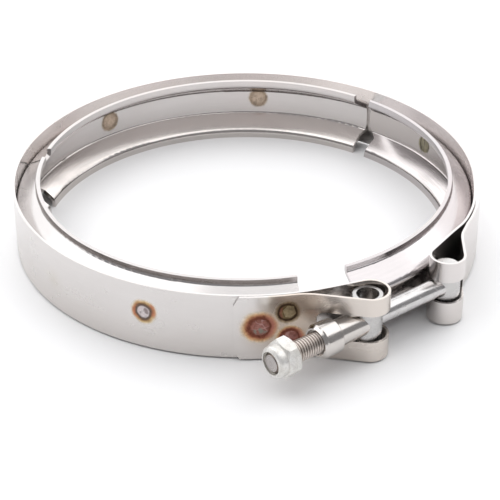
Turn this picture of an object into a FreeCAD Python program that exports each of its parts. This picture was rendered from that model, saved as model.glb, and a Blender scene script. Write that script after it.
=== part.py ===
import FreeCAD, Part
import math
import os

# V band clamp, 178 mm across, with a T-bolt, trunnion and lock nut.
# Millimetres. The ring's axis is Z and the origin is the ring's centre at the
# middle of the band's width. The bolt closes the ring at the -Y side.

V = FreeCAD.Vector

# ---------------------------------------------------------------- dimensions
# strap (one strip of stainless sheet, both ends folded back as slotted loops)
BAND_R_OUT = 89.0          # outer radius of the ring
STRAP_T = 0.9              # sheet thickness
BAND_W = 25.4              # strap width (1 in)
TONGUE_R = 89.65           # centreline radius of the folded-back left tongue
TONGUE_END_AZ = -92.6      # where the left tongue ends
TONGUE_CHAMFER = (2.0, 3.7)  # corner cut along the strap, across the strap
TONGUE_BEND_R = 22.0       # bend where the tongue leaves the ring
TONGUE_DIR = -12.0         # direction of the left loop's front wall
LOOP_L = (43.2, -85.5)     # left loop (trunnion side): nose centre
LOOP_L_RI = 5.95           # left loop: inside radius
LOOP_R = (72.0, -63.0)     # right loop (bolt head side): nose centre
LOOP_R_RI = 5.65           # right loop: inside radius
LOOP_R_DIR = -124.5        # direction of the ring's straight run into the right loop
LOOP_R_RUN = 15.0          # length of that run
RIGHT_WALL_DIR = 88.0      # direction of the right loop's outer wall
RIGHT_WALL_Y = -52.3       # height in plan where that wall starts to bend
# the ring is drawn outwards near the right loop: radius of its centreline
BULGE = [(-2.0, 88.55), (-6.0, 88.64), (-10.0, 88.92), (-13.0, 89.24), (-16.0, 89.55),
         (-19.0, 89.80), (-22.0, 89.92), (-25.0, 89.98), (-27.4, 89.80), (-29.4, 89.42)]
# the free end lies over it, a little open: centreline points and radii
FREE_BEND = [(78.62, -50.3), (78.98, -48.35), (79.72, -46.2), (80.55, -44.15)]
FREE_END = [(-27.2, 91.50), (-24.5, 91.42), (-21.5, 91.28), (-19.0, 91.12), (-16.5, 90.95),
            (-14.3, 90.82), (-12.4, 90.76)]
WINDOW_Z = 0.5             # height of both windows' middle
WINDOW_L_H = 10.7          # left window's height
WINDOW_L_X0 = 24.6         # left window starts here on the front wall
WINDOW_R_H = 8.7           # right window's height
WINDOW_CORNER = 3.0

# V retainers (three rolled segments inside the band)
RET_T = 1.5                # sheet thickness
RET_WEB_HALF = 5.5         # half width of the web, to the bend's corner
RET_LEG_TURN = 57.3        # the leg turns this far from the axis
RET_LIP_R = 79.25          # middle radius of the lip
RET_HALF_W = 13.4          # half of the overall width
RET_BEND = 1.7             # bend radius at the sheet's middle
# each segment: first and last azimuth, then for each end the azimuth of the web's
# edge and the edge of the upper and lower leg, as (distance across the leg, azimuth)
SEGMENTS = {
    "v_retainer_front": dict(
        span=(167.2, 283.2),
        start=(167.45, [(-0.9, 167.6), (3.0, 168.8), (7.8, 170.2), (9.6, 171.9), (14.0, 172.3)],
               [(-0.9, 167.6), (3.0, 169.0), (8.0, 170.2), (14.0, 170.6)]),
        end=None),
    "v_retainer_back": dict(
        span=(52.4, 169.7),
        start=(52.6, [(-0.9, 52.6), (9.5, 53.5), (14.0, 53.8)],
               [(-0.9, 52.6), (3.2, 53.7), (9.5, 53.6), (14.0, 53.5)]),
        end=(166.65, [(-0.9, 166.9), (3.0, 168.1), (7.8, 169.4), (8.6, 169.3), (9.6, 167.0), (14.0, 166.6)],
             [(-0.9, 166.4), (4.5, 165.2), (8.0, 165.7), (10.5, 166.4), (14.0, 166.6)])),
    "v_retainer_right": dict(
        span=(-63.6, 51.6),
        start=None,
        end=(51.55, [(-0.9, 51.55), (9.4, 48.6), (12.2, 47.8), (14.0, 47.6)],
             [(-0.9, 51.5), (3.2, 48.7), (9.0, 49.0), (12.0, 49.4), (14.0, 49.5)])),
}

# bolt line
TRUNNION = (42.1, -85.56)  # trunnion's axis
BOLT_DIR = 37.6            # the bolt's direction, nut end to head
HEAD_DIST = 37.6           # trunnion axis to head axis
BOLT_Z = 0.5
HEAD_R = 5.2
HEAD_H = 15.8
SHANK_R = 3.55             # plain shank (rolled thread blank)
THREAD_R = 3.9             # 5/16-24 UNF
PITCH = 1.058
THREAD_START = -3.0        # from the trunnion's axis, towards the nut is positive
BOLT_END = 42.35           # from the trunnion's axis to the bolt's end
TRUN_RO = 5.5
TRUN_RI = 4.0
TRUN_H = 21.4
CROSS_R = 4.15             # cross hole in the trunnion tube
SLEEVE_R = 4.8
SLEEVE_BORE = 4.1
COLLAR_R = 6.25
COLLAR_A = 15.1           # collar's near end, from the trunnion's axis
COLLAR_B = 22.15           # collar's far end
NOSE_D = 1.0               # tapered nose on the collar's far end
NOSE_R = 5.3
MOUTH_R = 4.7              # wider mouth of the bore, at the nose
MOUTH_D = 2.0
NUT_FACE = 34.15           # nut's bearing face
NUT_HEX_H = 4.8
NUT_H = 8.4
NUT_AF = 12.7
NUT_COLLAR_R = 5.75
NUT_TURN = 50.0            # direction of one corner, about the bolt
NYLON_A = 5.63             # nylon ring: from here to NYLON_B along the nut
NYLON_B = 7.52
NYLON_RI = 3.97
NYLON_RO = 4.92
RECESS_A = 5.6             # the nut's recess round it
RECESS_B = 7.55
RECESS_R = 4.95


# -------------------------------------------------------------- small helpers
def pol(r, az, c=(0.0, 0.0)):
    a = math.radians(az)
    return (c[0] + r * math.cos(a), c[1] + r * math.sin(a))


class Path:
    """A smooth plane path of straight runs and arcs, as a list of segments:
    ("L", p0, p1) or ("A", centre, radius, az0, az1), where az1 > az0 turns left."""

    def __init__(self):
        self.segs = []

    def line(self, p0, p1):
        self.segs.append(("L", p0, p1))

    def arc(self, c, r, a0, a1):
        self.segs.append(("A", c, r, a0, a1))

    def spline(self, pts, dir0, dir1):
        """a smooth run through plane points with given directions at its ends"""
        c = Part.BSplineCurve()
        t0 = V(math.cos(math.radians(dir0)), math.sin(math.radians(dir0)), 0)
        t1 = V(math.cos(math.radians(dir1)), math.sin(math.radians(dir1)), 0)
        c.interpolate(Points=[V(x, y, 0) for x, y in pts], InitialTangent=t0, FinalTangent=t1)
        self.segs.append(("S", c, t0, t1))

    def offset_edges(self, d, to3):
        """edges shifted by d to the left of the direction of travel"""
        out = []
        for s in self.segs:
            if s[0] == "S":
                _, c, t0, t1 = s
                a, b = c.FirstParameter, c.LastParameter
                n = 4 * len(c.getKnots())
                q = []
                for k in range(n + 1):
                    u = a + (b - a) * k / n
                    p, tg = c.value(u), c.tangent(u)[0]
                    if k == 0:
                        tg = t0
                    if k == n:
                        tg = t1
                    tg = tg * (1.0 / tg.Length)
                    q.append(to3(p.x - tg.y * d, p.y + tg.x * d))
                oc = Part.BSplineCurve()
                oc.interpolate(Points=q, InitialTangent=t0, FinalTangent=t1)
                out.append((q[0], oc, q[-1]))
                continue
            if s[0] == "L":
                (x0, y0), (x1, y1) = s[1], s[2]
                n = math.hypot(x1 - x0, y1 - y0)
                nx, ny = -(y1 - y0) / n * d, (x1 - x0) / n * d
                out.append((to3(x0 + nx, y0 + ny), None, to3(x1 + nx, y1 + ny)))
            else:
                _, c, r, a0, a1 = s
                rr = r - d if a1 > a0 else r + d
                # split a long arc so that no piece passes half a turn
                n = max(1, int(math.ceil(abs(a1 - a0) / 120.0)))
                for k in range(n):
                    b0 = a0 + (a1 - a0) * k / n
                    b1 = a0 + (a1 - a0) * (k + 1) / n
                    p0, pm, p1 = pol(rr, b0, c), pol(rr, (b0 + b1) / 2, c), pol(rr, b1, c)
                    out.append((to3(*p0), to3(*pm), to3(*p1)))
        return out

    def face(self, t, to3):
        left = self.offset_edges(t / 2.0, to3)
        right = self.offset_edges(-t / 2.0, to3)
        # snap each edge's start to the last edge's end, so the wire is closed
        def chain(lst):
            res = []
            last = None
            for a, m, b in lst:
                if last is not None and not isinstance(m, Part.BSplineCurve):
                    a = last
                res.append((a, m, b))
                last = b
            return res

        def edge(a, m, b):
            if m is None:
                return Part.LineSegment(a, b).toShape()
            if isinstance(m, Part.BSplineCurve):
                return m.toShape()
            return Part.Arc(a, m, b).toShape()
        left, right = chain(left), chain(right)
        edges = [edge(*e) for e in left]
        edges.append(Part.LineSegment(left[-1][2], right[-1][2]).toShape())
        edges += [edge(*e) for e in reversed(right)]
        edges.append(Part.LineSegment(right[0][0], left[0][0]).toShape())
        return Part.Face(Part.Wire(Part.__sortEdges__(edges)))


def unwrap(a, ref):
    while a - ref > 180.0:
        a -= 360.0
    while a - ref < -180.0:
        a += 360.0
    return a


def az_of(p, c=(0.0, 0.0)):
    return math.degrees(math.atan2(p[1] - c[1], p[0] - c[0]))


def clean(shape):
    s = shape.removeSplitter()
    if len(s.Solids) == 1:
        s = s.Solids[0]
    return s


os.makedirs("parts", exist_ok=True)


def save(name, shape):
    ok = shape.isValid()
    print("%-20s solids %d valid %s volume %.1f mm3" % (name, len(shape.Solids), ok, shape.Volume))
    shape.exportStep("parts/%s.step" % name)


# ---------------------------------------------------------------------- strap
base_r = BAND_R_OUT - STRAP_T / 2.0
rl = LOOP_L_RI + STRAP_T / 2.0
rr = LOOP_R_RI + STRAP_T / 2.0
strap = Path()

# left tongue on the ring, its bend, and the loop's front wall
d = (math.cos(math.radians(TONGUE_DIR)), math.sin(math.radians(TONGUE_DIR)))
right_n = (d[1], -d[0])                       # to the right of travel, outwards
wall0 = (LOOP_L[0] + rl * right_n[0], LOOP_L[1] + rl * right_n[1])
# bend centre: TONGUE_BEND_R to the right of the wall's line, and that far
# outside the tongue's circle
bx, by = wall0[0] + TONGUE_BEND_R * right_n[0], wall0[1] + TONGUE_BEND_R * right_n[1]
want = TONGUE_R + TONGUE_BEND_R
bb = bx * d[0] + by * d[1]
cc = bx * bx + by * by - want * want
s = -bb + math.sqrt(bb * bb - cc)
bend_c = (bx + s * d[0], by + s * d[1])
az_leave = az_of(bend_c)
strap.arc((0.0, 0.0), TONGUE_R, TONGUE_END_AZ, az_leave)
a_in = az_of((0.0, 0.0), bend_c)
a_out = unwrap(az_of((-right_n[0], -right_n[1])), a_in)
strap.arc(bend_c, TONGUE_BEND_R, a_in, a_out)
p_bend = pol(TONGUE_BEND_R, a_out, bend_c)
strap.line(p_bend, wall0)

# round the trunnion, and back to the ring on its inner side
phi = az_of(LOOP_L)
dist = math.hypot(*LOOP_L)
beta = math.degrees(math.acos((base_r + rl) / dist))
az_l = phi - beta                              # where the ring ends at the left
a0 = az_of(wall0, LOOP_L)
a1 = az_l + 180.0
while a1 < a0:
    a1 += 360.0
strap.arc(LOOP_L, rl, a0, a1)
strap.line(pol(rl, a1, LOOP_L), pol(base_r, az_l))

# the ring, clockwise, to where it starts to be drawn outwards
strap.arc((0.0, 0.0), base_r, az_l, BULGE[0][0] - 360.0)
# the drawn-out part, then the straight run into the right loop
dr = (math.cos(math.radians(LOOP_R_DIR)), math.sin(math.radians(LOOP_R_DIR)))
nose_in = (LOOP_R[0] + rr * dr[1], LOOP_R[1] - rr * dr[0])      # tangent point, ring side
run0 = (nose_in[0] - LOOP_R_RUN * dr[0], nose_in[1] - LOOP_R_RUN * dr[1])
strap.spline([pol(r, az) for az, r in BULGE] + [run0], BULGE[0][0] - 90.0, LOOP_R_DIR)
strap.line(run0, nose_in)

# round the bolt's head, and up the outer wall
a0 = az_of(nose_in, LOOP_R)
wd = math.radians(RIGHT_WALL_DIR)
a1 = RIGHT_WALL_DIR - 90.0
while a1 < a0:
    a1 += 360.0
strap.arc(LOOP_R, rr, a0, a1)
wall_p = pol(rr, a1, LOOP_R)
d2 = (math.cos(wd), math.sin(wd))
s = (RIGHT_WALL_Y - wall_p[1]) / d2[1]
p_w = (wall_p[0] + s * d2[0], RIGHT_WALL_Y)
strap.line(wall_p, p_w)
tip = [pol(r, az) for az, r in FREE_END]
tip_dir = az_of((tip[-1][0] - tip[-2][0], tip[-1][1] - tip[-2][1]))
strap.spline([p_w] + FREE_BEND + tip, RIGHT_WALL_DIR, tip_dir)
az_r, az_join = az_of(nose_in), FREE_END[0][0]
print("ring from az %.1f to %.1f, tongue leaves at %.1f, right wall joins at %.1f"
      % (az_l, az_r, az_leave, az_join))

body = strap.face(STRAP_T, lambda x, y: V(x, y, -BAND_W / 2.0)).extrude(V(0, 0, BAND_W))


# left window: on the front wall, round the nose, and a little way up the back wall
back_t = pol(rl, az_l + 180.0, LOOP_L)         # back wall's end at the nose
back_dir = (math.cos(math.radians(az_l - 90.0)), math.sin(math.radians(az_l - 90.0)))
bk = (back_t[0] + 5.0 * back_dir[0], back_t[1] + 5.0 * back_dir[1])
hl = WINDOW_L_H / 2.0


def slot_end(cx, cy, ang, h, zc, r, reach, side):
    """slot end with rounded corners: a slab h high whose end corners have radius r.
    The slot runs from its end at (cx, cy) along the plan direction ang."""
    a = math.radians(ang)
    ux = V(math.cos(a), math.sin(a), 0)
    p = [V(cx, cy, 0) + ux * r + V(0, 0, zc - h / 2.0),
         V(cx, cy, 0) + ux * r * (1 - math.cos(math.radians(45))) + V(0, 0, zc - h / 2.0 + r * (1 - math.sin(math.radians(45)))),
         V(cx, cy, 0) + V(0, 0, zc - h / 2.0 + r),
         V(cx, cy, 0) + V(0, 0, zc + h / 2.0 - r),
         V(cx, cy, 0) + ux * r * (1 - math.cos(math.radians(45))) + V(0, 0, zc + h / 2.0 - r * (1 - math.sin(math.radians(45)))),
         V(cx, cy, 0) + ux * r + V(0, 0, zc + h / 2.0),
         V(cx, cy, 0) + ux * reach + V(0, 0, zc + h / 2.0),
         V(cx, cy, 0) + ux * reach + V(0, 0, zc - h / 2.0)]
    e = [Part.Arc(p[0], p[1], p[2]).toShape(), Part.LineSegment(p[2], p[3]).toShape(),
         Part.Arc(p[3], p[4], p[5]).toShape(), Part.LineSegment(p[5], p[6]).toShape(),
         Part.LineSegment(p[6], p[7]).toShape(), Part.LineSegment(p[7], p[0]).toShape()]
    nrm = V(-math.sin(a), math.cos(a), 0)
    f = Part.Face(Part.Wire(e))
    f.translate(nrm * (-side / 2.0))
    return f.extrude(nrm * side)


# front wall's middle line at the window's start
t = (WINDOW_L_X0 - wall0[0]) / d[0]
fw = (wall0[0] + t * d[0], wall0[1] + t * d[1])
cut_l = slot_end(fw[0], fw[1], TONGUE_DIR, WINDOW_L_H, WINDOW_Z, WINDOW_CORNER, 24.0, 3.4)
nose_l = Part.makeCylinder(rl + 3.0, WINDOW_L_H, V(LOOP_L[0], LOOP_L[1], WINDOW_Z - hl))
cut_back = slot_end(bk[0], bk[1], az_l + 90.0, WINDOW_L_H, WINDOW_Z, WINDOW_CORNER, 9.0, 3.4)
body = body.cut(cut_l).cut(nose_l).cut(cut_back)

# right window: on the outer wall, round the nose, and a little way up the inner wall
hr = WINDOW_R_H / 2.0
p_in = pol(rr, a0, LOOP_R)
dir_in = LOOP_R_DIR + 180.0
q_in = (p_in[0] + 4.5 * math.cos(math.radians(dir_in)), p_in[1] + 4.5 * math.sin(math.radians(dir_in)))
q_out = (wall_p[0] + 4.5 * d2[0], wall_p[1] + 4.5 * d2[1])
nose_r = Part.makeCylinder(rr + 2.5, WINDOW_R_H, V(LOOP_R[0], LOOP_R[1], WINDOW_Z - hr))
cut_in = slot_end(q_in[0], q_in[1], dir_in + 180.0, WINDOW_R_H, WINDOW_Z, WINDOW_CORNER, 8.0, 2.6)
cut_out = slot_end(q_out[0], q_out[1], RIGHT_WALL_DIR + 180.0, WINDOW_R_H, WINDOW_Z, WINDOW_CORNER, 8.0, 2.6)
body = body.cut(nose_r).cut(cut_in).cut(cut_out)

# chamfered corners of the left tongue's end
for sgn in (1, -1):
    e0 = pol(TONGUE_R, TONGUE_END_AZ)
    tdir = V(*pol(1.0, TONGUE_END_AZ + 90.0), 0)
    ndir = V(*pol(1.0, TONGUE_END_AZ), 0)
    o = V(e0[0], e0[1], sgn * BAND_W / 2.0)
    a = o - tdir * 1.0 + V(0, 0, sgn * 1.0)
    b = o + tdir * (TONGUE_CHAMFER[0] + 0.54) + V(0, 0, sgn * 1.0)
    c = o - tdir * 1.0 - V(0, 0, sgn * (TONGUE_CHAMFER[1] + 1.85))
    tri = Part.Face(Part.makePolygon([a, b, c, a]))
    tri.translate(ndir * -0.5)
    body = body.cut(tri.extrude(ndir * 1.6))

# spot welds that join the folded ends to the ring (fused nuggets in the gap)
WELDS_L = [(az, z, base_r, TONGUE_R) for az, z in ((-86.8, 0.5), (-80.8, 5.9), (-80.2, -4.6))]
WELDS_R = [(-25.0, 5.0, 89.98, 91.42), (-25.0, -5.0, 89.98, 91.42), (-18.5, 0.0, 89.76, 91.08)]
for group in (WELDS_L, WELDS_R):
    for az, z, r_in, r_out in group:
        p = pol(r_in, az)
        q = V(*pol(1.0, az), 0)
        nug = Part.makeCylinder(2.6, r_out - r_in, V(p[0], p[1], z), q)
        body = body.fuse(nug)
strap_solid = clean(body)
save("strap", strap_solid)

# --------------------------------------------------------------- V retainers
half = RET_T / 2.0
web_r = BAND_R_OUT - STRAP_T - half             # web's middle radius
th = math.radians(RET_LEG_TURN)
leg = (-math.sin(th), math.cos(th))
run = (web_r - RET_LIP_R) / math.sin(th)
lip_z = RET_WEB_HALF + run * math.cos(th)
tl = RET_BEND * math.tan(th / 2.0)


def section():
    pth = Path()
    # from the lower lip's tip to the upper lip's tip, in the (radius, height) plane
    def corner(cx, cy, d0, d1):
        """tangent points and centre of the bend at a corner, from direction d0 to d1"""
        p0 = (cx - d0[0] * tl, cy - d0[1] * tl)
        p1 = (cx + d1[0] * tl, cy + d1[1] * tl)
        cross = d0[0] * d1[1] - d0[1] * d1[0]
        sgn = 1.0 if cross > 0 else -1.0
        n = (-d0[1] * sgn, d0[0] * sgn)
        c = (p0[0] + n[0] * RET_BEND, p0[1] + n[1] * RET_BEND)
        b0 = az_of(p0, c)
        b1 = unwrap(az_of(p1, c), b0)
        return p0, p1, c, b0, b1
    up = (0.0, 1.0)
    lo = (math.sin(th), math.cos(th))
    hi = leg
    pts = [(RET_LIP_R, -lip_z, up, lo), (web_r, -RET_WEB_HALF, lo, up),
           (web_r, RET_WEB_HALF, up, hi), (RET_LIP_R, lip_z, hi, up)]
    last = (RET_LIP_R, -RET_HALF_W)
    for cx, cy, d0, d1 in pts:
        p0, p1, c, b0, b1 = corner(cx, cy, d0, d1)
        pth.line(last, p0)
        pth.arc(c, RET_BEND, b0, b1)
        last = p1
    pth.line(last, (RET_LIP_R, RET_HALF_W))
    return pth.face(RET_T, lambda x, y: V(x, 0, y))


sec = section()


def end_tool(sgn, limit, web_az, upper, lower):
    """what is cut away at one end of a segment; sgn is +1 at its first azimuth and
    -1 at its last, and limit is the azimuth up to which it was rolled"""
    e = math.radians(limit)
    er = V(math.cos(e), math.sin(e), 0)
    et = V(-math.sin(e), math.cos(e), 0) * sgn            # into the segment

    def depth(az, r):
        return r * math.radians((az - limit) * sgn)

    tools = []
    w = depth(web_az, web_r)
    box = Part.makeBox(4.2, 9.0 + w, 2 * RET_WEB_HALF - 0.6)
    # the box's own axes are radial, tangential and up
    box.translate(V(web_r - 1.6, -9.0 if sgn > 0 else -w, -RET_WEB_HALF + 0.3))
    box.rotate(V(0, 0, 0), V(0, 0, 1), limit)
    tools.append(box)
    for up, prof in ((1.0, upper), (-1.0, lower)):
        a0_ = er * web_r + V(0, 0, up * RET_WEB_HALF)
        u = er * -math.sin(th) + V(0, 0, up * math.cos(th))
        n = er * math.cos(th) + V(0, 0, up * math.sin(th))
        pts = [a0_ + u * s_ + et * depth(az, web_r - max(0.0, s_) * math.sin(th)) for s_, az in prof]
        pts = [a0_ + u * prof[0][0] - et * 9.0] + pts + [a0_ + u * prof[-1][0] - et * 9.0]
        f = Part.Face(Part.makePolygon(pts + [pts[0]]))
        f.translate(n * -5.0)
        tools.append(f.extrude(n * 10.0))
    return tools


for name, g in SEGMENTS.items():
    z0, z1 = g["span"]
    f = sec.copy()
    f.rotate(V(0, 0, 0), V(0, 0, 1), z0)
    seg = f.revolve(V(0, 0, 0), V(0, 0, 1), z1 - z0)
    if seg.ShapeType != "Solid":
        seg = seg.Solids[0]
    if g["start"]:
        for t_ in end_tool(1.0, z0, *g["start"]):
            seg = seg.cut(t_)
    if g["end"]:
        for t_ in end_tool(-1.0, z1, *g["end"]):
            seg = seg.cut(t_)
    parts_ = sorted(seg.Solids, key=lambda q: -q.Volume)
    save(name, parts_[0])

# ------------------------------------------------------------------ bolt line
ub = V(math.cos(math.radians(BOLT_DIR)), math.sin(math.radians(BOLT_DIR)), 0)  # to the head
un = ub * -1.0                                                              # to the nut
trun = V(TRUNNION[0], TRUNNION[1], BOLT_Z)
head = trun + ub * HEAD_DIST
bolt_end = trun + un * BOLT_END

# T-bolt: barrel head and shank in one piece
barrel = Part.makeCylinder(HEAD_R, HEAD_H, V(head.x, head.y, BOLT_Z - HEAD_H / 2.0))
barrel = barrel.makeChamfer(0.8, [e for e in barrel.Edges if isinstance(e.Curve, Part.Circle)])
shank = Part.makeCylinder(SHANK_R, HEAD_DIST - THREAD_START, head, un)
thread_from = trun + un * THREAD_START
thread = Part.makeCylinder(THREAD_R, BOLT_END - THREAD_START, thread_from, un)
ends = [e for e in thread.Edges if isinstance(e.Curve, Part.Circle)]
thread = thread.makeChamfer(0.55, ends)
t_bolt = clean(barrel.fuse(shank).fuse(thread))
save("t_bolt", t_bolt)

# trunnion: upright tube with a cross hole for the bolt
tube = Part.makeCylinder(TRUN_RO, TRUN_H, V(trun.x, trun.y, BOLT_Z - TRUN_H / 2.0))
tube = tube.makeChamfer(0.25, [e for e in tube.Edges if isinstance(e.Curve, Part.Circle)])
tube = tube.cut(Part.makeCylinder(TRUN_RI, TRUN_H + 2, V(trun.x, trun.y, BOLT_Z - TRUN_H / 2.0 - 1)))
tube = tube.cut(Part.makeCylinder(CROSS_R, 30, trun - ub * 15, ub))
tube = tube.cut(Part.makeCylinder(SLEEVE_R, 15, trun, un))       # the sleeve is pressed in here
save("trunnion_tube", clean(tube))

# collared sleeve, pressed through the tube's wall and flush with its inside
slv = Part.makeCylinder(SLEEVE_R, COLLAR_B, trun, un)
col = Part.makeCylinder(COLLAR_R, COLLAR_B - COLLAR_A, trun + un * COLLAR_A, un)
col = col.makeChamfer(0.4, [e for e in col.Edges if isinstance(e.Curve, Part.Circle)])
nose = Part.makeCone(COLLAR_R - 0.4, NOSE_R, NOSE_D, trun + un * COLLAR_B, un)
slv = slv.fuse(col).fuse(nose)
slv = slv.cut(Part.makeCylinder(SLEEVE_BORE, COLLAR_B + 3, trun - un * 1, un))
slv = slv.cut(Part.makeCylinder(MOUTH_R, MOUTH_D + 1, trun + un * (COLLAR_B + NOSE_D - MOUTH_D), un))
slv = slv.cut(Part.makeCylinder(TRUN_RI, 40, V(trun.x, trun.y, BOLT_Z - 20)))
slv = slv.Solids
slv = sorted(slv, key=lambda q: -q.Volume)[0]
save("sleeve", clean(slv))

# lock nut: hexagon, rounded collar, and the nylon ring held in the collar
face_c = trun + un * NUT_FACE
nz = un
# a frame on the nut: nv points sideways and towards -Y, zz up
nv = V(math.sin(math.radians(BOLT_DIR)), -math.cos(math.radians(BOLT_DIR)), 0)
zz = V(0, 0, 1)
rc = NUT_AF / math.sqrt(3.0)
pts = []
for k in range(6):
    a = math.radians(NUT_TURN + 60.0 * k)
    pts.append(face_c + nv * (rc * math.cos(a)) + zz * (rc * math.sin(a)))
hexa = Part.Face(Part.makePolygon(pts + [pts[0]])).extrude(nz * NUT_H)


def turned(profile, origin, axis):
    """a solid of revolution: profile is a list of (distance along axis, radius)"""
    side = nv
    vs = [origin + axis * s_ + side * r_ for s_, r_ in profile]
    f = Part.Face(Part.makePolygon(vs + [vs[0]]))
    return f.revolve(origin, axis, 360)


env = turned([(-0.01, 0), (-0.01, NUT_AF / 2 - 0.05), (0.9, rc + 0.02), (NUT_HEX_H - 0.75, rc + 0.02),
              (NUT_HEX_H, NUT_AF / 2 - 0.15), (NUT_HEX_H + 0.15, NUT_COLLAR_R),
              (NUT_H - 1.3, NUT_COLLAR_R - 0.02), (NUT_H - 0.75, NUT_COLLAR_R - 0.22),
              (NUT_H - 0.3, NUT_COLLAR_R - 0.7), (NUT_H, NUT_COLLAR_R - 1.45), (NUT_H, 0)],
             face_c, nz)
if env.ShapeType != "Solid":
    env = env.Solids[0]
nut = hexa.common(env)
bore = turned([(-1, 0), (-1, THREAD_R + 0.5), (0.0, THREAD_R + 0.5), (0.46, THREAD_R + 0.04),
               (RECESS_A, THREAD_R + 0.04), (RECESS_A, RECESS_R), (RECESS_B, RECESS_R), (RECESS_B, THREAD_R + 0.3),
               (NUT_H + 1, THREAD_R + 0.3), (NUT_H + 1, 0)], face_c, nz)
if bore.ShapeType != "Solid":
    bore = bore.Solids[0]
nut = nut.cut(bore)
save("lock_nut", clean(nut))

nylon = turned([(NYLON_A, NYLON_RI), (NYLON_A, NYLON_RO), (NYLON_B, NYLON_RO), (NYLON_B, NYLON_RI)], face_c, nz)
if nylon.ShapeType != "Solid":
    nylon = nylon.Solids[0]
save("nylon_ring", nylon)

print("trunnion axis %.3f %.3f, head axis %.3f %.3f, bolt end %.3f %.3f" %
      (trun.x, trun.y, head.x, head.y, bolt_end.x, bolt_end.y))
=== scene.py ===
import bpy
import bmesh
import math
from mathutils import Vector, Matrix


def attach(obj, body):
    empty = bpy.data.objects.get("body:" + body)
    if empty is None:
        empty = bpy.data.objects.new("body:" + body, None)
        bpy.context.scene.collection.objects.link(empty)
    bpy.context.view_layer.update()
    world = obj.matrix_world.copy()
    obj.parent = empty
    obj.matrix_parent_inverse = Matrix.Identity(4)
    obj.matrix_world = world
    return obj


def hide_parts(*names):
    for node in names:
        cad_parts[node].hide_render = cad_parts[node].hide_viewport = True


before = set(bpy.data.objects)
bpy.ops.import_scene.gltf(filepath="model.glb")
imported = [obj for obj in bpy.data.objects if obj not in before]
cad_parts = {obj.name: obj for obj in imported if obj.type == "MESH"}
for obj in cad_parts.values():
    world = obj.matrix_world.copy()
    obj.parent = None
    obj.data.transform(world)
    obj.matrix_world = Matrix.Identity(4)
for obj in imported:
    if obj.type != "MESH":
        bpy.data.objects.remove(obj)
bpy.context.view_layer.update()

MM = 0.001

# ------------------------------------------------------------- positions (mm)
# repeated from the part's source
BOLT_DIR = math.radians(37.6)
UB = Vector((math.cos(BOLT_DIR), math.sin(BOLT_DIR), 0.0))        # towards the head
UN = -UB                                                          # towards the nut
NV = Vector((math.sin(BOLT_DIR), -math.cos(BOLT_DIR), 0.0))
ZZ = Vector((0.0, 0.0, 1.0))
TRUN = Vector((42.1, -85.56, 0.5))
HEAD = TRUN + UB * 37.6
BOLT_END = 42.35
NUT_FACE = 34.15


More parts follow.
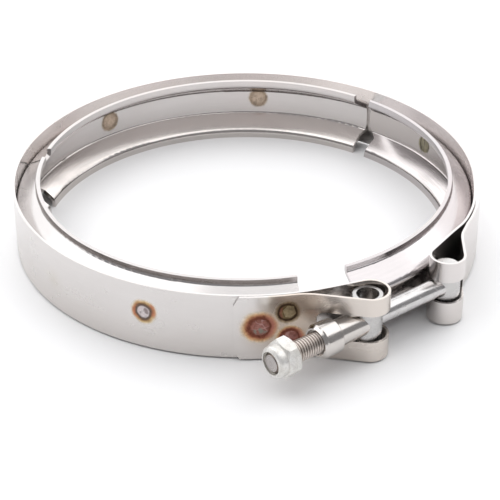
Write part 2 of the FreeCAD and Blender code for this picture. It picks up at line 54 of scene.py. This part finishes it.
# ---------------------------------------------------------------- node helpers
class Mat:
    """a small builder for node materials, in object (metre) coordinates"""

    def __init__(self, name):
        self.m = bpy.data.materials.new(name)
        self.m.use_nodes = True
        self.t = self.m.node_tree
        for n in list(self.t.nodes):
            self.t.nodes.remove(n)
        self.out = self.t.nodes.new("ShaderNodeOutputMaterial")
        self.bsdf = self.t.nodes.new("ShaderNodeBsdfPrincipled")
        self.t.links.new(self.bsdf.outputs[0], self.out.inputs[0])
        self.co = self.t.nodes.new("ShaderNodeTexCoord").outputs["Object"]

    def link(self, a, b):
        self.t.links.new(a, b)

    def set(self, sock, v):
        if isinstance(v, bpy.types.NodeSocket):
            self.link(v, sock)
        else:
            sock.default_value = v

    def math(self, op, a, b=0.0, c=0.0, clamp=False):
        n = self.t.nodes.new("ShaderNodeMath")
        n.operation = op
        n.use_clamp = clamp
        self.set(n.inputs[0], a)
        self.set(n.inputs[1], b)
        if len(n.inputs) > 2:
            self.set(n.inputs[2], c)
        return n.outputs[0]

    def vmath(self, op, a, b=(0, 0, 0), scale=None):
        n = self.t.nodes.new("ShaderNodeVectorMath")
        n.operation = op
        self.set(n.inputs[0], a)
        self.set(n.inputs[1], b)
        if scale is not None:
            self.set(n.inputs[3], scale)
        return n.outputs["Value"] if op in ("DOT_PRODUCT", "LENGTH", "DISTANCE") else n.outputs[0]

    def sep(self, v):
        n = self.t.nodes.new("ShaderNodeSeparateXYZ")
        self.link(v, n.inputs[0])
        return n.outputs[0], n.outputs[1], n.outputs[2]

    def comb(self, x, y, z):
        n = self.t.nodes.new("ShaderNodeCombineXYZ")
        self.set(n.inputs[0], x)
        self.set(n.inputs[1], y)
        self.set(n.inputs[2], z)
        return n.outputs[0]

    def noise(self, v, scale, detail=3.0, rough=0.5, dist=0.0):
        n = self.t.nodes.new("ShaderNodeTexNoise")
        self.link(v, n.inputs["Vector"])
        n.inputs["Scale"].default_value = scale
        n.inputs["Detail"].default_value = detail
        n.inputs["Roughness"].default_value = rough
        n.inputs["Distortion"].default_value = dist
        return n.outputs["Fac"]

    def ramp(self, f, stops, interp="LINEAR"):
        n = self.t.nodes.new("ShaderNodeValToRGB")
        self.link(f, n.inputs[0])
        n.color_ramp.interpolation = interp
        e = n.color_ramp.elements
        while len(e) < len(stops):
            e.new(0.5)
        for i, (p, c) in enumerate(stops):
            e[i].position = p
            if not hasattr(c, "__len__"):
                c = (c, c, c)
            e[i].color = (c[0], c[1], c[2], 1.0)
        return n.outputs[0]

    def maprange(self, f, a, b, c=0.0, d=1.0, smooth=True):
        n = self.t.nodes.new("ShaderNodeMapRange")
        n.interpolation_type = "SMOOTHSTEP" if smooth else "LINEAR"
        self.set(n.inputs[0], f)
        for i, v in enumerate((a, b, c, d)):
            n.inputs[i + 1].default_value = v
        return n.outputs[0]

    def mix(self, f, a, b, mode="MIX"):
        n = self.t.nodes.new("ShaderNodeMix")
        n.data_type = "RGBA"
        n.blend_type = mode
        n.clamp_factor = True
        self.set(n.inputs[0], f)
        for sock, v in ((n.inputs[6], a), (n.inputs[7], b)):
            if isinstance(v, bpy.types.NodeSocket):
                self.link(v, sock)
            else:
                sock.default_value = (v[0], v[1], v[2], 1.0)
        return n.outputs[2]

    def bump(self, h, strength, dist, normal=None):
        n = self.t.nodes.new("ShaderNodeBump")
        n.inputs["Strength"].default_value = strength
        n.inputs["Distance"].default_value = dist
        self.link(h, n.inputs["Height"])
        if normal is not None:
            self.link(normal, n.inputs["Normal"])
        return n.outputs[0]

    def ring_coords(self):
        """position along the rim (mm at r = 88), height (mm) and radius (mm)"""
        x, y, z = self.sep(self.co)
        az = self.math("ARCTAN2", y, x)
        s = self.math("MULTIPLY", az, 88.0)
        zz = self.math("MULTIPLY", z, 1000.0)
        r = self.math("MULTIPLY", self.math("SQRT", self.math("ADD", self.math("MULTIPLY", x, x),
                                                              self.math("MULTIPLY", y, y))), 1000.0)
        return s, zz, r


def done(m, color, rough, metallic=1.0, normal=None, **more):
    b = m.bsdf
    m.set(b.inputs["Base Color"], color if isinstance(color, bpy.types.NodeSocket) else (*color, 1.0))
    m.set(b.inputs["Roughness"], rough)
    b.inputs["Metallic"].default_value = metallic
    if normal is not None:
        m.link(normal, b.inputs["Normal"])
    for k, v in more.items():
        b.inputs[k.replace("_", " ")].default_value = v
    return m.m


def mul(m, a, b):
    return m.mix(1.0, a, b, "MULTIPLY")


# heat marks: azimuth (deg), height (mm), radius of the nugget (mm), and a key
FRONT_WELDS = [(-113.3, 1.9, 1.0, "small"), (-86.8, 0.5, 1.25, "big"),
               (-80.6, 5.9, 1.0, "dark"), (-80.0, -4.6, 1.0, "big")]


def steel(name, base=(0.64, 0.615, 0.603), rough=(0.20, 0.34), grain=0.5, tint=0.10, welds=(), inner=(),
          dirt=0.05, tongue=False, rk=1.0, web=0.0):
    """rolled bright stainless sheet: a fine grain along the strip, soft cloudy stains,
    smudges, small specks and the heat marks round its spot welds"""
    m = Mat(name)
    s, z, r = m.ring_coords()
    # fine rolling grain, long along the strip
    g1 = m.noise(m.comb(m.math("MULTIPLY", s, 0.05), m.math("MULTIPLY", z, 1.6), m.math("MULTIPLY", r, 0.8 * rk)), 1.0, 6.0, 0.6)
    g2 = m.noise(m.comb(m.math("MULTIPLY", s, 0.35), m.math("MULTIPLY", z, 6.0), m.math("MULTIPLY", r, 4.0 * rk)), 1.0, 4.0, 0.6)
    cloud = m.noise(m.co, 30.0, 1.0, 0.4, 0.2)
    smear = m.noise(m.comb(m.math("MULTIPLY", s, 0.08), m.math("MULTIPLY", z, 0.16), m.math("MULTIPLY", r, rk)), 1.0, 4.0, 0.55, 0.6)
    spots = m.noise(m.co, 900.0, 3.0, 0.6)
    colr = m.ramp(cloud, [(0.30, (base[0] * 0.955, base[1] * 0.95, base[2] * 0.945)), (0.72, base)])
    warm = m.maprange(m.noise(m.co, 17.0, 2.0, 0.5, 0.2), 0.45, 0.75)
    colr = m.mix(m.math("MULTIPLY", warm, tint), colr, (base[0] * 1.0, base[1] * 0.93, base[2] * 0.92))
    # painted shade: a little darker towards the floor, and warmer there in tone
    floor_shade_warm = m.maprange(z, 6.0, -13.0)
    colr = m.mix(m.math("MULTIPLY", floor_shade_warm, 0.5), colr, (base[0] * 0.98, base[1] * 0.955, base[2] * 0.92))
    colr = mul(m, colr, m.ramp(g1, [(0.28, 1.0 - 0.07 * grain), (0.72, 1.0)]))
    colr = mul(m, colr, m.ramp(g2, [(0.30, 1.0 - 0.06 * grain), (0.70, 1.0)]))
    speck = m.maprange(spots, 0.70, 0.78)
    colr = m.mix(m.math("MULTIPLY", speck, dirt), colr, (0.24, 0.22, 0.21))
    ro = m.ramp(smear, [(0.25, rough[0]), (0.75, rough[1])])
    ro = m.math("ADD", ro, m.math("MULTIPLY", m.math("SUBTRACT", g2, 0.5), 0.05 * grain), clamp=True)
    height = m.math("ADD", m.math("MULTIPLY", g1, 0.16 * grain), m.math("MULTIPLY", g2, 0.07 * grain))
    height = m.math("ADD", height, m.math("MULTIPLY", cloud, 1.1))
    if web:
        # the flat web is a little browner than the legs
        flat = m.math("MULTIPLY", m.maprange(r, 85.9, 86.4), m.maprange(m.math("ABSOLUTE", z), 5.6, 4.6))
        colr = m.mix(m.math("MULTIPLY", flat, web), colr, (base[0] * 0.92, base[1] * 0.89, base[2] * 0.84))
    if tongue:
        # the folded-back tongue is a warmer tone than the ring beside it
        x, y, z_m = m.sep(m.co)
        onto = m.math("MULTIPLY", m.maprange(r, 89.2, 89.3), m.maprange(x, 0.050, 0.056, 1.0, 0.0))
        onto = m.math("MULTIPLY", m.math("MULTIPLY", onto, m.maprange(y, -0.055, -0.060)), m.maprange(x, 0.0074, 0.0086))
        colr = m.mix(m.math("MULTIPLY", onto, 0.8), colr, (base[0] * 0.94, base[1] * 0.885, base[2] * 0.82))
        glow = None
        for az, zc, k, kind in welds[1:4]:
            ds = m.math("SUBTRACT", s, math.radians(az + 2.0) * 88.0)
            dz = m.math("SUBTRACT", z, zc - 0.5)
            d = m.math("SQRT", m.math("ADD", m.math("MULTIPLY", ds, ds), m.math("MULTIPLY", dz, dz)))
            g = m.maprange(d, 3.0, 12.5, 1.0, 0.0)
            glow = g if glow is None else m.math("MAXIMUM", glow, g)
        glow = m.math("MULTIPLY", glow, m.maprange(r, 88.9, 89.2))
        colr = m.mix(m.math("MULTIPLY", glow, 0.50), colr, (0.60, 0.46, 0.34))
    # heat marks
    wob = m.math("MULTIPLY", m.math("SUBTRACT", m.noise(m.co, 210.0, 1.0, 0.5), 0.5), 1.3)
    wob = m.math("ADD", wob, m.math("MULTIPLY", m.math("SUBTRACT", m.noise(m.co, 900.0, 2.0, 0.5), 0.5), 0.5))
    sw = m.noise(m.co, 520.0, 3.0, 0.6, 1.6)
    fine = m.noise(m.co, 1500.0, 2.0, 0.6, 0.6)
    side = m.maprange(m.noise(m.co, 190.0, 1.0, 0.5), 0.42, 0.62)
    face = m.maprange(r, 88.60, 88.75) if welds else m.maprange(r, 88.60, 88.75, 1.0, 0.0)
    for az, zc, k, kind in list(welds) + list(inner):
        ds = m.math("SUBTRACT", s, math.radians(az) * 88.0)
        dz = m.math("SUBTRACT", z, zc)
        d = m.math("SQRT", m.math("ADD", m.math("MULTIPLY", ds, ds), m.math("MULTIPLY", dz, dz)))
        d = m.math("DIVIDE", m.math("ADD", d, wob), k)
        dn = m.math("DIVIDE", d, 6.0)
        if kind == "faint":
            c = m.ramp(m.math("DIVIDE", d, 9.0), [(0.0, (0.60, 0.55, 0.48)), (1.0, base)])
            colr = m.mix(m.maprange(d, 1.0, 8.0, 0.35, 0.0), colr, c)
            continue
        if kind == "inside":
            c = m.ramp(dn, [(0.0, (0.43, 0.335, 0.255)), (0.36, (0.40, 0.31, 0.235)), (0.54, (0.255, 0.19, 0.135)),
                            (0.66, (0.38, 0.315, 0.25)), (0.78, (0.56, 0.51, 0.47))])
            c = mul(m, c, m.ramp(sw, [(0.36, 0.74), (0.62, 1.22)]))
            f = m.maprange(d, 3.5, 4.7, 0.95, 0.0)
        elif kind == "olive":
            c = m.ramp(dn, [(0.0, (0.27, 0.245, 0.165)), (0.40, (0.25, 0.225, 0.14)), (0.58, (0.20, 0.18, 0.10)),
                            (0.68, (0.34, 0.31, 0.24)), (0.80, (0.50, 0.47, 0.42))])
            bars = m.noise(m.comb(m.math("MULTIPLY", s, 0.95), m.math("MULTIPLY", z, 0.10), 0.0), 1.0, 2.0, 0.5, 0.3)
            c = mul(m, c, m.ramp(bars, [(0.40, 0.50), (0.60, 1.25)]))
            f = m.maprange(d, 3.3, 4.6, 0.9, 0.0)
        elif kind == "small":
            c = m.ramp(dn, [(0.0, (0.62, 0.57, 0.57)), (0.36, (0.56, 0.50, 0.50)), (0.44, (0.135, 0.10, 0.085)),
                            (0.55, (0.16, 0.105, 0.07)), (0.63, (0.42, 0.27, 0.13)), (0.72, (0.60, 0.47, 0.29)), (0.90, (0.66, 0.62, 0.55))])
            c = m.mix(m.math("MULTIPLY", m.math("MULTIPLY", side, m.maprange(d, 3.0, 3.5)), m.maprange(d, 4.2, 5.0, 0.7, 0.0)), c, (0.46, 0.16, 0.10))
            c = mul(m, c, m.ramp(sw, [(0.30, 0.80), (0.60, 1.10)]))
            blot = m.math("MULTIPLY", m.maprange(m.noise(m.co, 420.0, 1.0, 0.5), 0.52, 0.66), m.maprange(d, 1.7, 2.5, 0.75, 0.0))
            c = m.mix(blot, c, (0.17, 0.13, 0.13))
            f = m.maprange(d, 4.0, 5.6, 1.0, 0.0)
        elif kind == "dark":
            c = m.ramp(dn, [(0.0, (0.27, 0.215, 0.115)), (0.42, (0.225, 0.165, 0.085)), (0.49, (0.06, 0.036, 0.022)),
                            (0.56, (0.075, 0.046, 0.028)), (0.63, (0.30, 0.22, 0.14)), (0.82, (0.54, 0.44, 0.34))])
            # an angular pale facet right of the middle, outlined in brown
            p1 = m.math("ABSOLUTE", m.math("ADD", m.math("SUBTRACT", ds, 0.55), m.math("MULTIPLY", dz, 0.28)))
            p2 = m.math("ABSOLUTE", m.math("SUBTRACT", m.math("MULTIPLY", ds, 0.35), dz))
            hexd = m.math("MAXIMUM", p1, m.math("MULTIPLY", m.math("ADD", p2, m.math("MULTIPLY", p1, 0.55)), 0.75))
            facet = m.maprange(hexd, 1.95, 2.15, 1.0, 0.0)
            rim = m.math("MULTIPLY", m.maprange(hexd, 1.90, 2.12), m.maprange(hexd, 2.20, 2.50, 1.0, 0.0))
            c = m.mix(facet, c, (0.375, 0.30, 0.185))
            c = m.mix(m.math("MULTIPLY", rim, 0.55), c, (0.10, 0.06, 0.03))
            left = m.math("MULTIPLY", m.math("MULTIPLY", m.maprange(ds, -1.5, -2.1), m.maprange(d, 1.9, 2.3)), m.maprange(d, 2.6, 3.1, 0.8, 0.0))
            c = m.mix(left, c, (0.30, 0.13, 0.09))
            c = mul(m, c, m.ramp(sw, [(0.30, 0.66), (0.62, 1.22)]))
            f = m.maprange(d, 3.9, 5.2, 1.0, 0.0)
        else:
            c = m.ramp(dn, [(0.0, (0.32, 0.155, 0.135)), (0.38, (0.27, 0.115, 0.092)), (0.47, (0.15, 0.052, 0.036)),
                            (0.57, (0.19, 0.064, 0.040)), (0.64, (0.36, 0.155, 0.090)), (0.71, (0.53, 0.31, 0.165)),
                            (0.81, (0.63, 0.48, 0.31)), (0.93, (0.68, 0.60, 0.50))])
            c = mul(m, c, m.ramp(sw, [(0.30, 0.70), (0.64, 1.25)]))
            c = mul(m, c, m.ramp(fine, [(0.30, 0.86), (0.70, 1.10)]))
            # a pinkish curl and a patch of blue-green scale in the nugget
            curl = m.math("MULTIPLY", m.maprange(m.math("ABSOLUTE", m.math("SUBTRACT", m.noise(m.co, 190.0, 0.0, 0.5, 1.2), 0.5)), 0.0, 0.030, 1.0, 0.0),
                          m.maprange(d, 2.0, 2.8, 1.0, 0.0))
            c = m.mix(m.math("MULTIPLY", curl, 0.55), c, (0.60, 0.38, 0.36))
            scale_ = m.math("MULTIPLY", m.maprange(m.noise(m.co, 330.0, 1.0, 0.5), 0.56, 0.66), m.maprange(d, 1.9, 2.7, 0.7, 0.0))
            c = m.mix(scale_, c, (0.20, 0.25, 0.21))
            # a reddish flush to the right of the nugget
            flush = m.math("MULTIPLY", m.math("MULTIPLY", m.maprange(ds, 1.0, 4.0), m.maprange(d, 3.0, 3.5)), m.maprange(d, 4.0, 5.8, 0.6, 0.0))
            c = m.mix(flush, c, (0.50, 0.21, 0.165))
            f = m.maprange(d, 4.2, 6.0, 1.0, 0.0)
        f = m.math("MULTIPLY", f, face)
        colr = m.mix(f, colr, c)
        ring = m.math("MULTIPLY", m.maprange(d, 2.3, 3.0), m.maprange(d, 3.0, 3.7, 1.0, 0.0))
        height = m.math("SUBTRACT", height, m.math("MULTIPLY", ring, 2.4))
        nug = m.maprange(d, 0.8, 2.9, 1.0, 0.0)
        height = m.math("SUBTRACT", height, m.math("MULTIPLY", nug, 1.4))
        height = m.math("ADD", height, m.math("MULTIPLY", m.math("MULTIPLY", sw, nug), 2.2))
        ro = m.math("ADD", ro, m.math("MULTIPLY", f, 0.10), clamp=True)
    nrm = m.bump(height, 0.28, 0.00012)
    return done(m, colr, ro, 1.0, nrm, Anisotropic=0.30)


def put(node, mat):
    o = bpy.data.objects[node]
    if not o.material_slots:
        o.data.materials.append(mat)
    for sl in o.material_slots:
        sl.material = mat


strap_mat = steel("strap_steel", base=(0.705, 0.680, 0.668), rough=(0.20, 0.30), grain=0.45, tint=0.25,
                  welds=FRONT_WELDS + [(-141.0, -1.0, 1.0, "faint"), (-36.0, 2.0, 1.0, "faint")], tongue=True, rk=0.02)
front_mat = steel("retainer_front_steel", base=(0.61, 0.588, 0.582), rough=(0.15, 0.24), grain=0.6, tint=0.25)
back_mat = steel("retainer_back_steel", base=(0.63, 0.600, 0.588), rough=(0.15, 0.24), grain=0.7, tint=0.5,
                 inner=[(131.0, 1.5, 1.12, "inside"), (85.8, 1.6, 1.06, "inside")])
right_mat = steel("retainer_right_steel", base=(0.575, 0.548, 0.552), rough=(0.15, 0.24), grain=0.6, tint=0.4, web=0.8,
                  inner=[(30.5, 0.3, 0.96, "olive"), (54.6, 1.9, 1.0, "faint")])
put("strap", strap_mat)
put("v_retainer_front", front_mat)
put("v_retainer_back", back_mat)
put("v_retainer_right", right_mat)


def turned(name, axis_o, axis_d, base, rough, rings=7.0, depth=0.00003, strength=0.12, dark=0.12, streak=0.0, metallic=1.0):
    """turned or drawn metal: fine rings round an axis, or streaks along it"""
    m = Mat(name)
    o = tuple(c * MM for c in axis_o)
    d = tuple(axis_d)
    rel = m.vmath("SUBTRACT", m.co, o)
    along = m.math("MULTIPLY", m.vmath("DOT_PRODUCT", rel, d), 1000.0)
    proj = m.vmath("SCALE", tuple(axis_d), scale=m.math("MULTIPLY", along, 0.001))
    perp = m.vmath("SUBTRACT", rel, proj)
    rad = m.math("MULTIPLY", m.vmath("LENGTH", perp), 1000.0)
    rings_n = m.noise(m.comb(m.math("MULTIPLY", along, rings), m.math("MULTIPLY", rad, rings), 0.0), 1.0, 5.0, 0.65)
    px, py, pz = m.sep(perp)
    streaks = m.noise(m.comb(m.math("MULTIPLY", along, 0.12), m.math("MULTIPLY", px, 2400.0), m.math("MULTIPLY", pz, 2400.0)), 1.0, 4.0, 0.6)
    cloud = m.noise(m.co, 160.0, 4.0, 0.55, 0.5)
    col = m.ramp(cloud, [(0.3, tuple(c * 0.90 for c in base)), (0.7, base)])
    col = mul(m, col, m.ramp(rings_n if streak < 0.5 else streaks, [(0.3, 1.0 - dark), (0.7, 1.0)]))
    ro = m.ramp(m.noise(m.co, 240.0, 4.0, 0.6, 0.4), [(0.3, rough[0]), (0.7, rough[1])])
    h = rings_n if streak < 0.5 else streaks
    nrm = m.bump(h, strength, depth)
    return done(m, col, ro, metallic, nrm)


put("trunnion_tube", turned("tube_steel", TRUN, ZZ, (0.56, 0.55, 0.54), (0.20, 0.34), rings=5.0))
put("sleeve", turned("sleeve_steel", TRUN, UB, (0.66, 0.625, 0.595), (0.14, 0.22), rings=8.0, dark=0.06))

# ------------------------------------------------------------------ lock nut
def plating():
    """silver-white plating, slightly mottled and dulled"""
    m = Mat("nut_plating")
    n1 = m.noise(m.co, 420.0, 5.0, 0.65, 0.5)
    n2 = m.noise(m.co, 1900.0, 3.0, 0.65)
    n3 = m.noise(m.co, 130.0, 2.0, 0.5)
    c = m.ramp(n1, [(0.28, (0.70, 0.68, 0.65)), (0.55, (0.85, 0.835, 0.81)), (0.75, (0.90, 0.89, 0.87))])
    c = mul(m, c, m.ramp(n2, [(0.30, 0.84), (0.62, 1.0)]))
    c = mul(m, c, m.ramp(n3, [(0.35, (0.95, 0.94, 0.91)), (0.65, (1.0, 1.0, 1.0))]))
    ro = m.ramp(n1, [(0.30, 0.42), (0.70, 0.30)])
    h = m.math("ADD", m.math("MULTIPLY", n1, 1.0), m.math("MULTIPLY", n2, 0.35))
    return done(m, c, ro, 0.5, m.bump(h, 0.35, 0.00008))


put("lock_nut", plating())


def nylon():
    m = Mat("nylon")
    n = m.noise(m.co, 700.0, 4.0, 0.6)
    c = m.ramp(n, [(0.3, (0.52, 0.50, 0.44)), (0.7, (0.70, 0.68, 0.62))])
    return done(m, c, m.ramp(n, [(0.3, 0.42), (0.7, 0.56)]), 0.0, m.bump(n, 0.2, 0.00005))


put("nylon_ring", nylon())

# ------------------------------------------------------------------- T-bolt
# the CAD bolt has a plain cylinder for its thread, so a threaded bolt replaces it
PITCH = 1.058
R_MAJ, R_MIN = 3.86, 3.28


def frame_pt(along, r, ang):
    """a point on the bolt: along mm from the trunnion towards the nut"""
    return (TRUN + UN * along + NV * (r * math.cos(ang)) + ZZ * (r * math.sin(ang))) * MM


def make_bolt():
    bm = bmesh.new()
    seg = 48
    a0, a1 = -3.0, BOLT_END
    per = 10                                      # rows a pitch
    n = int((a1 - a0) / PITCH * per)
    prev = None

    def prof(ph):
        ph = ph % 1.0
        if ph < 0.40:
            t = ph / 0.40
            return t
        if ph < 0.53:
            return 1.0
        if ph < 0.93:
            return 1.0 - (ph - 0.53) / 0.40
        return 0.0
    rows = []
    for i in range(n + 1):
        x = a0 + (a1 - a0) * i / n
        row = []
        for k in range(seg):
            ang = 2 * math.pi * k / seg
            ph = x / PITCH + k / seg          # right-handed, seen along the bolt
            r = R_MIN + (R_MAJ - R_MIN) * prof(ph)
            # run-out at the shank and the chamfer at the end
            if x < a0 + 2.2:
                w = max(0.0, (x - a0) / 2.2)
                r = 3.55 + (r - 3.55) * w
            lim = R_MAJ - max(0.0, (x - (a1 - 1.0))) * 0.85
            r = min(r, lim)
            row.append(bm.verts.new(frame_pt(x, r, ang)))
        rows.append(row)
    for a, b in zip(rows[:-1], rows[1:]):
        for k in range(seg):
            bm.faces.new((a[k], a[(k + 1) % seg], b[(k + 1) % seg], b[k]))
    # end face, slightly domed, with the flat of the cut
    ring = rows[-1]
    for rr_, dz in ((2.55, 0.12), (1.4, 0.2)):
        nxt = [bm.verts.new(frame_pt(a1 + dz, rr_, 2 * math.pi * k / seg)) for k in range(seg)]
        for k in range(seg):
            bm.faces.new((ring[k], ring[(k + 1) % seg], nxt[(k + 1) % seg], nxt[k]))
        ring = nxt
    bm.faces.new(ring)
    # shank towards the head
    ring = rows[0]
    stations = [(-3.0, 3.55), (-4.0, 3.55), (-10.0, 3.55), (-18.0, 3.55), (-26.0, 3.55), (-31.2, 3.55), (-32.2, 3.62), (-33.4, 3.9), (-37.6, 3.9)]
    for x, r in stations[1:]:
        nxt = [bm.verts.new(frame_pt(x, r, 2 * math.pi * k / seg)) for k in range(seg)]
        for k in range(seg):
            bm.faces.new((ring[k], nxt[k], nxt[(k + 1) % seg], ring[(k + 1) % seg]))
        ring = nxt
    bm.faces.new(list(reversed(ring)))
    bmesh.ops.recalc_face_normals(bm, faces=bm.faces)
    me = bpy.data.meshes.new("bolt_shank")
    bm.to_mesh(me)
    bm.free()
    for p in me.polygons:
        p.use_smooth = True
    o = bpy.data.objects.new("bolt_shank", me)
    bpy.context.scene.collection.objects.link(o)

    # barrel head with rounded rims
    bm = bmesh.new()
    seg = 72
    half, rad, fil = 7.9, 5.2, 0.95
    prof2 = [(0.0, half)]
    prof2.append((rad - fil - 1.2, half))
    for i in range(7):
        a = math.pi / 2 * (1 - i / 6.0)
        prof2.append((rad - fil + fil * math.cos(a), half - fil + fil * math.sin(a)))
    full = prof2 + [(r, -z) for r, z in reversed(prof2)]
    rings = []
    for r, z in full:
        if r == 0.0:
            rings.append([bm.verts.new(Vector((HEAD.x, HEAD.y, HEAD.z + z)) * MM)])
        else:
            rings.append([bm.verts.new(Vector((HEAD.x + r * math.cos(2 * math.pi * k / seg), HEAD.y + r * math.sin(2 * math.pi * k / seg), HEAD.z + z)) * MM) for k in range(seg)])
    for a, b in zip(rings[:-1], rings[1:]):
        for k in range(seg):
            j = (k + 1) % seg
            if len(a) == 1:
                bm.faces.new((a[0], b[k], b[j]))
            elif len(b) == 1:
                bm.faces.new((a[k], b[0], a[j]))
            else:
                bm.faces.new((a[k], b[k], b[j], a[j]))
    bmesh.ops.recalc_face_normals(bm, faces=bm.faces)
    me = bpy.data.meshes.new("bolt_head")
    bm.to_mesh(me)
    bm.free()
    for p in me.polygons:
        p.use_smooth = True
    h = bpy.data.objects.new("bolt_head", me)
    bpy.context.scene.collection.objects.link(h)
    return o, h


def bolt_material():
    """drawn shank, brownish rolled thread, with painted shade in its roots"""
    m = Mat("bolt_steel")
    o = tuple(c * MM for c in TRUN)
    rel = m.vmath("SUBTRACT", m.co, o)
    along = m.math("MULTIPLY", m.vmath("DOT_PRODUCT", rel, tuple(UN)), 1000.0)
    proj = m.vmath("SCALE", tuple(UN), scale=m.math("MULTIPLY", along, 0.001))
    perp = m.vmath("SUBTRACT", rel, proj)
    rad = m.math("MULTIPLY", m.vmath("LENGTH", perp), 1000.0)
    px, py, pz = m.sep(perp)
    streaks = m.noise(m.comb(m.math("MULTIPLY", along, 0.10), m.math("MULTIPLY", px, 2200.0), m.math("MULTIPLY", pz, 2200.0)), 1.0, 5.0, 0.6)
    cloud = m.noise(m.co, 260.0, 4.0, 0.6, 0.5)
    col = m.ramp(cloud, [(0.3, (0.61, 0.595, 0.59)), (0.7, (0.69, 0.675, 0.67))])
    col = mul(m, col, m.ramp(streaks, [(0.3, 0.84), (0.7, 1.0)]))
    # painted shade: the thread roots are darkened towards the minor radius
    root_shade = m.math("MULTIPLY", m.maprange(rad, R_MIN + 0.02, R_MAJ - 0.12, 1.0, 0.0), m.maprange(along, -2.5, -0.5))
    thr = m.mix(root_shade, (0.66, 0.60, 0.555), (0.20, 0.165, 0.145))
    onthr = m.math("MULTIPLY", m.maprange(along, -3.0, -1.0), m.maprange(along, BOLT_END - 0.05, BOLT_END + 0.02, 1.0, 0.0))
    col = m.mix(onthr, col, thr)
    endface = m.maprange(along, BOLT_END - 0.02, BOLT_END + 0.03)
    rings_n = m.noise(m.comb(m.math("MULTIPLY", rad, 3.0), 0.0, m.math("MULTIPLY", m.noise(m.co, 300.0), 2.0)), 1.0, 4.0, 0.6)
    endc = m.ramp(rings_n, [(0.3, (0.33, 0.305, 0.295)), (0.7, (0.60, 0.565, 0.55))])
    col = m.mix(endface, col, endc)
    ro = m.ramp(m.noise(m.co, 380.0, 4.0, 0.6), [(0.3, 0.18), (0.7, 0.30)])
    ro = m.math("ADD", ro, m.math("MULTIPLY", onthr, 0.12), clamp=True)
    ro = m.math("ADD", ro, m.math("MULTIPLY", endface, 0.22), clamp=True)
    h = m.math("ADD", m.math("MULTIPLY", streaks, 0.5), m.math("MULTIPLY", rings_n, m.math("MULTIPLY", endface, 2.0)))
    return done(m, col, ro, 1.0, m.bump(h, 0.3, 0.00005))


shank, head = make_bolt()
bmat = bolt_material()
shank.data.materials.append(bmat)
head.data.materials.append(turned("head_steel", HEAD, ZZ, (0.62, 0.61, 0.60), (0.20, 0.32), rings=4.0, dark=0.08))
for o in (shank, head):
    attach(o, "bolt")
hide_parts("t_bolt")
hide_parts("t_bolt")

# ---------------------------------------------------------------- the studio
floor_z = -13.4 * MM


def floor():
    bm = bmesh.new()
    s = 3.0
    vs = [bm.verts.new((x * s, y * s, floor_z)) for x, y in ((-1, -1), (1, -1), (1, 1), (-1, 1))]
    bm.faces.new(vs)
    me = bpy.data.meshes.new("studio_floor")
    bm.to_mesh(me)
    bm.free()
    o = bpy.data.objects.new("studio_floor", me)
    bpy.context.scene.collection.objects.link(o)
    m = Mat("floor_white")
    n = m.noise(m.co, 6.0, 2.0, 0.5)
    c = m.ramp(n, [(0.3, (0.90, 0.90, 0.905)), (0.7, (0.92, 0.92, 0.925))])
    o.data.materials.append(done(m, c, 0.7, 0.0))
    return o


floor()

world = bpy.data.worlds.new("studio")
bpy.context.scene.world = world
world.use_nodes = True
wt = world.node_tree
for n in list(wt.nodes):
    wt.nodes.remove(n)
wo = wt.nodes.new("ShaderNodeOutputWorld")
bg = wt.nodes.new("ShaderNodeBackground")
bg.inputs[0].default_value = (0.97, 0.97, 1.0, 1.0)
bg.inputs[1].default_value = 0.32
wt.links.new(bg.outputs[0], wo.inputs[0])


def softbox(name, loc, target, w, h, level, color=(1, 1, 1)):
    """a large even panel; level is about its brightness as seen"""
    d = bpy.data.lights.new(name, "AREA")
    d.shape = "RECTANGLE"
    d.size = w
    d.size_y = h
    d.energy = math.pi * w * h * level
    d.color = color
    o = bpy.data.objects.new(name, d)
    bpy.context.scene.collection.objects.link(o)
    o.location = loc
    o.rotation_euler = (Vector(target) - Vector(loc)).to_track_quat("-Z", "Y").to_euler()
    return o


softbox("panel_top_left", (-0.82, 0.15, 1.15), (-0.82, 0.15, 0), 1.15, 1.8, 1.80)
softbox("panel_top_mid", (0.03, 0.15, 1.15), (0.03, 0.15, 0), 0.53, 1.8, 1.05)
softbox("panel_top_right", (0.88, 0.15, 1.15), (0.88, 0.15, 0), 1.15, 1.8, 1.50)
softbox("panel_left", (-1.15, 0.80, 0.60), (0, 0, 0.05), 1.6, 1.0, 1.38)
softbox("panel_right", (1.15, 0.80, 0.60), (0, 0, 0.05), 1.6, 1.0, 1.30)
softbox("panel_back", (0.0, 1.50, 0.70), (0, 0, 0.05), 2.0, 1.1, 1.35)

# ---------------------------------------------------------------- the camera
cam_d = bpy.data.cameras.new("photo_camera")
cam_d.sensor_width = 36.0
cam_d.lens = 1618.85 / 500.0 * 36.0
cam_d.clip_start = 0.01
cam = bpy.data.objects.new("photo_camera", cam_d)
bpy.context.scene.collection.objects.link(cam)
R = Vector((0.99997, -0.006496, -0.004212))
U = Vector((0.006980, 0.521154, 0.853434))
F = Vector((0.003349, 0.853438, -0.521184))
rot = Matrix((R, U, -F)).transposed()
cam.matrix_world = Matrix.Translation(Vector((0.0, -0.55062, 0.31298))) @ rot.to_4x4()
bpy.context.scene.camera = cam
bpy.context.scene.view_settings.view_transform = "Standard"
